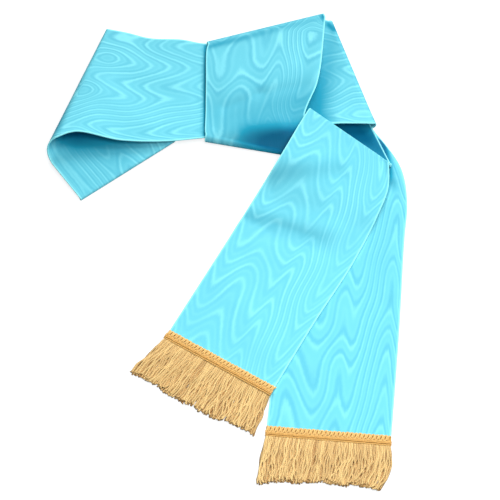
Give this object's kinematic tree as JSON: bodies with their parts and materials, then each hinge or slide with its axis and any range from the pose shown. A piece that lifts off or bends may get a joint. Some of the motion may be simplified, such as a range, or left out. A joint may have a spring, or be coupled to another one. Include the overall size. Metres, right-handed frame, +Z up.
{
  "type": "masonic sash",
  "caption": "Folded watered ribbon sash, knotted flat round itself, with a gold cord fringe under a braid heading at each end.",
  "frame": {"origin": "on the surface that the sash lies on, under the middle of its box", "axes": "+Z up from the surface, +Y from the fringed tails towards the knot, +X from the far end of the loop towards the knot's right end"},
  "size_m": [0.3118, 0.457, 0.0218],
  "materials": {
    "ribbon": "watered silk-like ribbon with a soft sheen",
    "braid": "ribbed gold gimp braid",
    "fringe": "twisted gold cord fringe"
  },
  "bodies": {
    "root": {"ribbon": "ribbon", "heading_left": "braid", "heading_right": "braid", "fringe_left": "fringe", "fringe_right": "fringe"}
  },
  "joints": []
}
